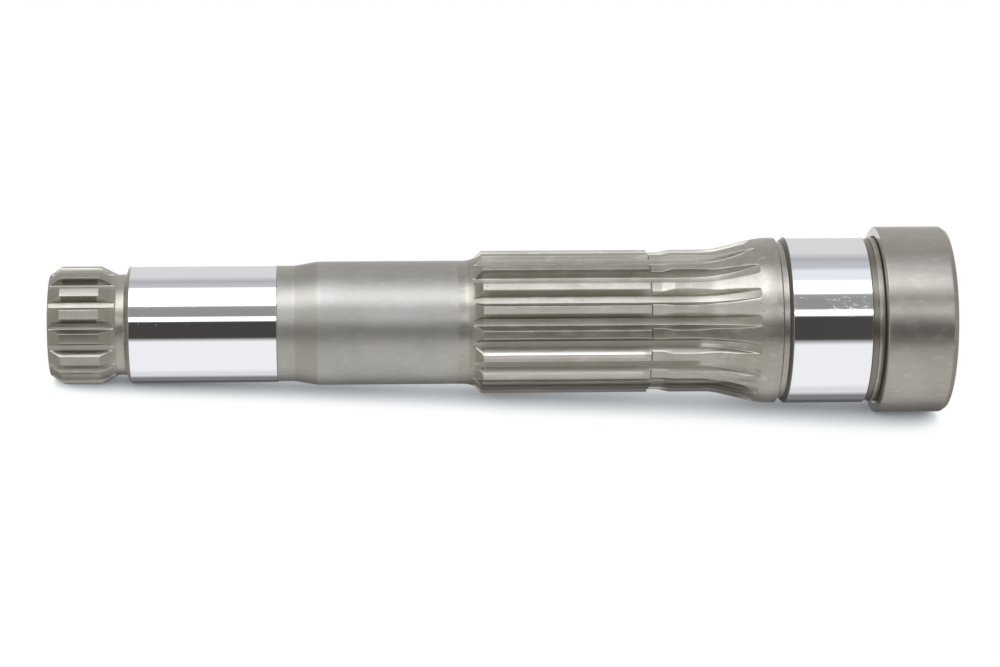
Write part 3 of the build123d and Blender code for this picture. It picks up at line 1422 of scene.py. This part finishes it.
def sew(mesh: bmesh.types.BMesh, outer: list[bmesh.types.BMVert], inner: list[bmesh.types.BMVert]) -> None:
    """Fills the flat face between two circles with other numbers of points.

    Args:
        mesh: the mesh that both circles are in.
        outer: the outer circle's points.
        inner: the inner circle's points.
    """
    rings = (outer, inner)
    steps = [0, 0]

    def next_angle(side: int) -> float:
        """The angle of the next point of one circle, counted past the full turn."""
        turns, index = divmod(steps[side] + 1, len(rings[side]))
        place = rings[side][index].co
        return atan2(place.y, place.x) + turns * tau

    while steps[0] < len(outer) or steps[1] < len(inner):
        side = 0 if steps[1] >= len(inner) or (
            steps[0] < len(outer) and next_angle(0) <= next_angle(1)
        ) else 1
        here = [rings[k][steps[k] % len(rings[k])] for k in (0, 1)]
        steps[side] += 1
        ahead = rings[side][steps[side] % len(rings[side])]
        mesh.faces.new((here[0], here[1], ahead))


@dataclass(frozen=True)
class Panel:
    """One stretch of the studio round the shaft.

    Its end is an angle in degrees from the camera: negative above the shaft and positive below it. Its
    strength is that towards the end spline, and its far strength the one towards the collar.
    """

    ends_at: float
    shown: Colour
    edge: float
    strength: float = 1.0
    far_strength: float | None = None


@dataclass(frozen=True)
class Studio:
    """The soft studio that the shaft reflects: panels round it, seen by reflections only."""

    panels: tuple[Panel, ...] = (
        Panel(-161, (244, 244, 246), 8, 1.2),
        Panel(-100, (213, 213, 216), 14),
        Panel(-88, (172, 174, 180), 10),
        Panel(-75, (188, 190, 196), 6),
        Panel(-54, (234, 238, 246), 8, 3.0, 0.93),
        Panel(-37.5, (239, 243, 252), 5, 4.8, 2.2),
        Panel(-30, (150, 150, 151), 4),
        Panel(-13.2, (144, 144, 145), 3.4),
        Panel(-7.2, (239, 243, 252), 4, 4.6, 3.6),
        Panel(30.5, (68, 66, 64), 8),
        Panel(106, (236, 237, 241), 9),
        Panel(125, (216, 216, 221), 10),
        Panel(147, (122, 122, 126), 8),
        Panel(180, (86, 86, 89), 0),
    )
    side_fade: tuple[float, float] = (-0.15, 0.15)
    mirror_share: float = 0.93
    end_colour: Colour = (0.56, 0.55, 0.53)
    end_fade: tuple[float, float] = (0.12, 0.87)

    def build(self) -> None:
        """Makes the world: white to the camera, and the panels to everything else."""
        world = bpy.data.worlds.new("studio")
        bpy.context.scene.world = world
        world.use_nodes = True
        graph = Graph(world.node_tree)
        direction = graph.wire("ShaderNodeTexCoord", output="Generated")
        split = graph.node("ShaderNodeSeparateXYZ", None, {0: direction})
        x, y, z = (Wire(graph, output) for output in split.outputs)
        turn = x.math("ARCTAN2", -x, -y) / tau + 0.5
        near, far = (
            graph.wire("ShaderNodeValToRGB", {"stops": self._stops(is_far)}, {0: turn})
            for is_far in (False, True)
        )
        around = graph.mixed(z.between(*self.side_fade), far, near)
        light = graph.mixed(abs(z).between(*self.end_fade), around, self.end_colour)
        camera = graph.wire("ShaderNodeLightPath", output="Is Camera Ray")
        shown = graph.mixed(camera, light, (1.0, 1.0, 1.0))
        background = graph.wire("ShaderNodeBackground", None, {"Color": shown, "Strength": 1.0})
        graph.node("ShaderNodeOutputWorld", None, {"Surface": background})

    def _stops(self, is_far: bool) -> list[tuple[float, Colour]]:
        """Gives the ramp's stops, two for each panel."""
        stops, start, edge = [], -180.0, 0.0
        for panel in self.panels:
            strength = panel.strength
            if is_far and panel.far_strength is not None:
                strength = panel.far_strength
            colour = tuple(value * strength / self.mirror_share for value in linear(panel.shown))
            stops.append(((start + edge / 2 + 180) / 360, colour))
            stops.append(((panel.ends_at - panel.edge / 2 + 180) / 360, colour))
            start, edge = panel.ends_at, panel.edge
        return stops


@dataclass(frozen=True)
class Backdrop:
    """A pale plane that keeps only the soft shadow of what stands near it.

    Its shades say how it shows where the shaft hides a share of the light: each is how open the place
    is, from 0 to 1, and its grey.
    """

    name: str
    centre: tuple[float, float, float]
    normal: tuple[float, float, float]
    size: tuple[float, float]
    shade_normal: tuple[float, float, float]
    shade_distance: float
    shades: tuple[tuple[float, Colour], ...]
    one_sided: bool = False
    samples: int = 16

    def build(self) -> bpy.types.Object:
        """Makes the plane.

        Returns:
            The plane.
        """
        normal = Vector(self.normal).normalized()
        up = Vector((0, 0, 1)) if abs(normal.z) < NEARLY_LEVEL else Vector((0, 1, 0))
        side = up.cross(normal).normalized()
        up = normal.cross(side)
        centre = Vector(self.centre)
        corners = [
            centre + side * self.size[0] * across / 2 + up * self.size[1] * rise / 2
            for across, rise in ((-1, -1), (1, -1), (1, 1), (-1, 1))
        ]
        mesh = bpy.data.meshes.new(self.name)
        mesh.from_pydata(corners, [], [(0, 1, 2, 3)])
        mesh.materials.append(self._material())
        plane = linked(self.name, mesh)
        plane.visible_glossy = False
        plane.visible_diffuse = False
        plane.visible_shadow = False
        LOG.info("%s: staged", self.name)
        return plane

    def _material(self) -> bpy.types.Material:
        """White, with a soft shadow where something is near."""
        made = bpy.data.materials.new(self.name)
        made.use_nodes = True
        graph = Graph(made.node_tree)
        sockets = {"Distance": self.shade_distance, "Normal": self.shade_normal}
        samples = {"samples": self.samples}
        openness = graph.wire("ShaderNodeAmbientOcclusion", samples, sockets, output="AO")
        stops = [(position, linear(shown)) for position, shown in self.shades]
        colour = graph.wire("ShaderNodeValToRGB", {"stops": stops}, {0: openness})
        shader = graph.wire("ShaderNodeEmission", None, {"Color": colour, "Strength": 1.0})
        if self.one_sided:
            behind = graph.wire("ShaderNodeNewGeometry", output="Backfacing")
            clear_shader = graph.wire("ShaderNodeBsdfTransparent")
            shader = graph.wire("ShaderNodeMixShader", None, {0: behind, 1: shader, 2: clear_shader})
        graph.node("ShaderNodeOutputMaterial", None, {"Surface": shader})
        return made


@dataclass(frozen=True)
class ProductCamera:
    """The camera of the photograph, rolled a quarter turn so that the standing shaft lies across."""

    turn: float = radians(270.7)
    distance: float = 0.9267
    height: float = 0.1802
    target_height: float = 0.134
    target_drop: float = -0.00348
    roll: float = radians(0.372)
    lens: float = 111.06
    sensor: float = 36.0
    clip_start: float = 0.05

    def build(self) -> None:
        """Makes the scene's camera."""
        camera = linked("camera", bpy.data.cameras.new("camera"))
        camera.data.lens = self.lens
        camera.data.sensor_width = self.sensor
        camera.data.clip_start = self.clip_start
        place = Vector((self.distance * cos(self.turn), self.distance * sin(self.turn), self.height))
        forward = (Vector((self.target_drop, 0, self.target_height)) - place).normalized()
        right = forward.cross(Vector((1, 0, 0))).normalized()
        up = right.cross(forward)
        rolled_right = right * cos(self.roll) - up * sin(self.roll)
        rolled_up = up * cos(self.roll) + right * sin(self.roll)
        camera.matrix_world = Matrix.Translation(place) @ Matrix(
            (rolled_right, rolled_up, -forward)
        ).transposed().to_4x4()
        bpy.context.scene.camera = camera


@dataclass(frozen=True)
class TablePlane:
    """The plane that the shaft would lie on, touching its collar and its small journal."""

    lean: float = radians(16)
    collar_touch: Point = (0.02802, 0.02065)
    journal_touch: Point = (0.01752, 0.244)
    size: Point = (1.2, 0.9)
    shade_distance: float = 0.3

    def build(self) -> bpy.types.Object:
        """Makes the plane, seen from the shaft's side only."""
        away = Vector((-cos(self.lean), sin(self.lean), 0))
        touches = (self.collar_touch, self.journal_touch)
        low, high = (away * radius + Vector((0, 0, height)) for radius, height in touches)
        across = Vector((0, 0, 1)).cross(away)
        normal = across.cross(high - low).normalized()
        if normal.dot(away) > 0:
            normal.negate()
        return Backdrop(
            "side_plane",
            centre=tuple((low + high) / 2),
            normal=tuple(normal),
            size=self.size,
            shade_normal=tuple(normal),
            shade_distance=self.shade_distance,
            shades=TABLE_SHADES,
            one_sided=True,
        ).build()


def main() -> None:
    """Builds the shaft, its stage and its studio."""
    logging.basicConfig(level=logging.INFO, format="%(message)s")
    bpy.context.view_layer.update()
    bpy.context.scene.view_settings.view_transform = "Standard"
    ProductCamera().build()
    Studio().build()
    TablePlane().build()
    Backdrop(
        "floor",
        centre=(0, 0, 0),
        normal=(0, 0, 1),
        size=(6, 6),
        shade_normal=(0, -0.95, 0.31),
        shade_distance=0.06,
        shades=FLOOR_SHADES,
    ).build()
    shaft = MachineShaft().build()
    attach(shaft, "root")
    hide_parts(SHAFT_NODE)


if __name__ == "__main__":
    main()
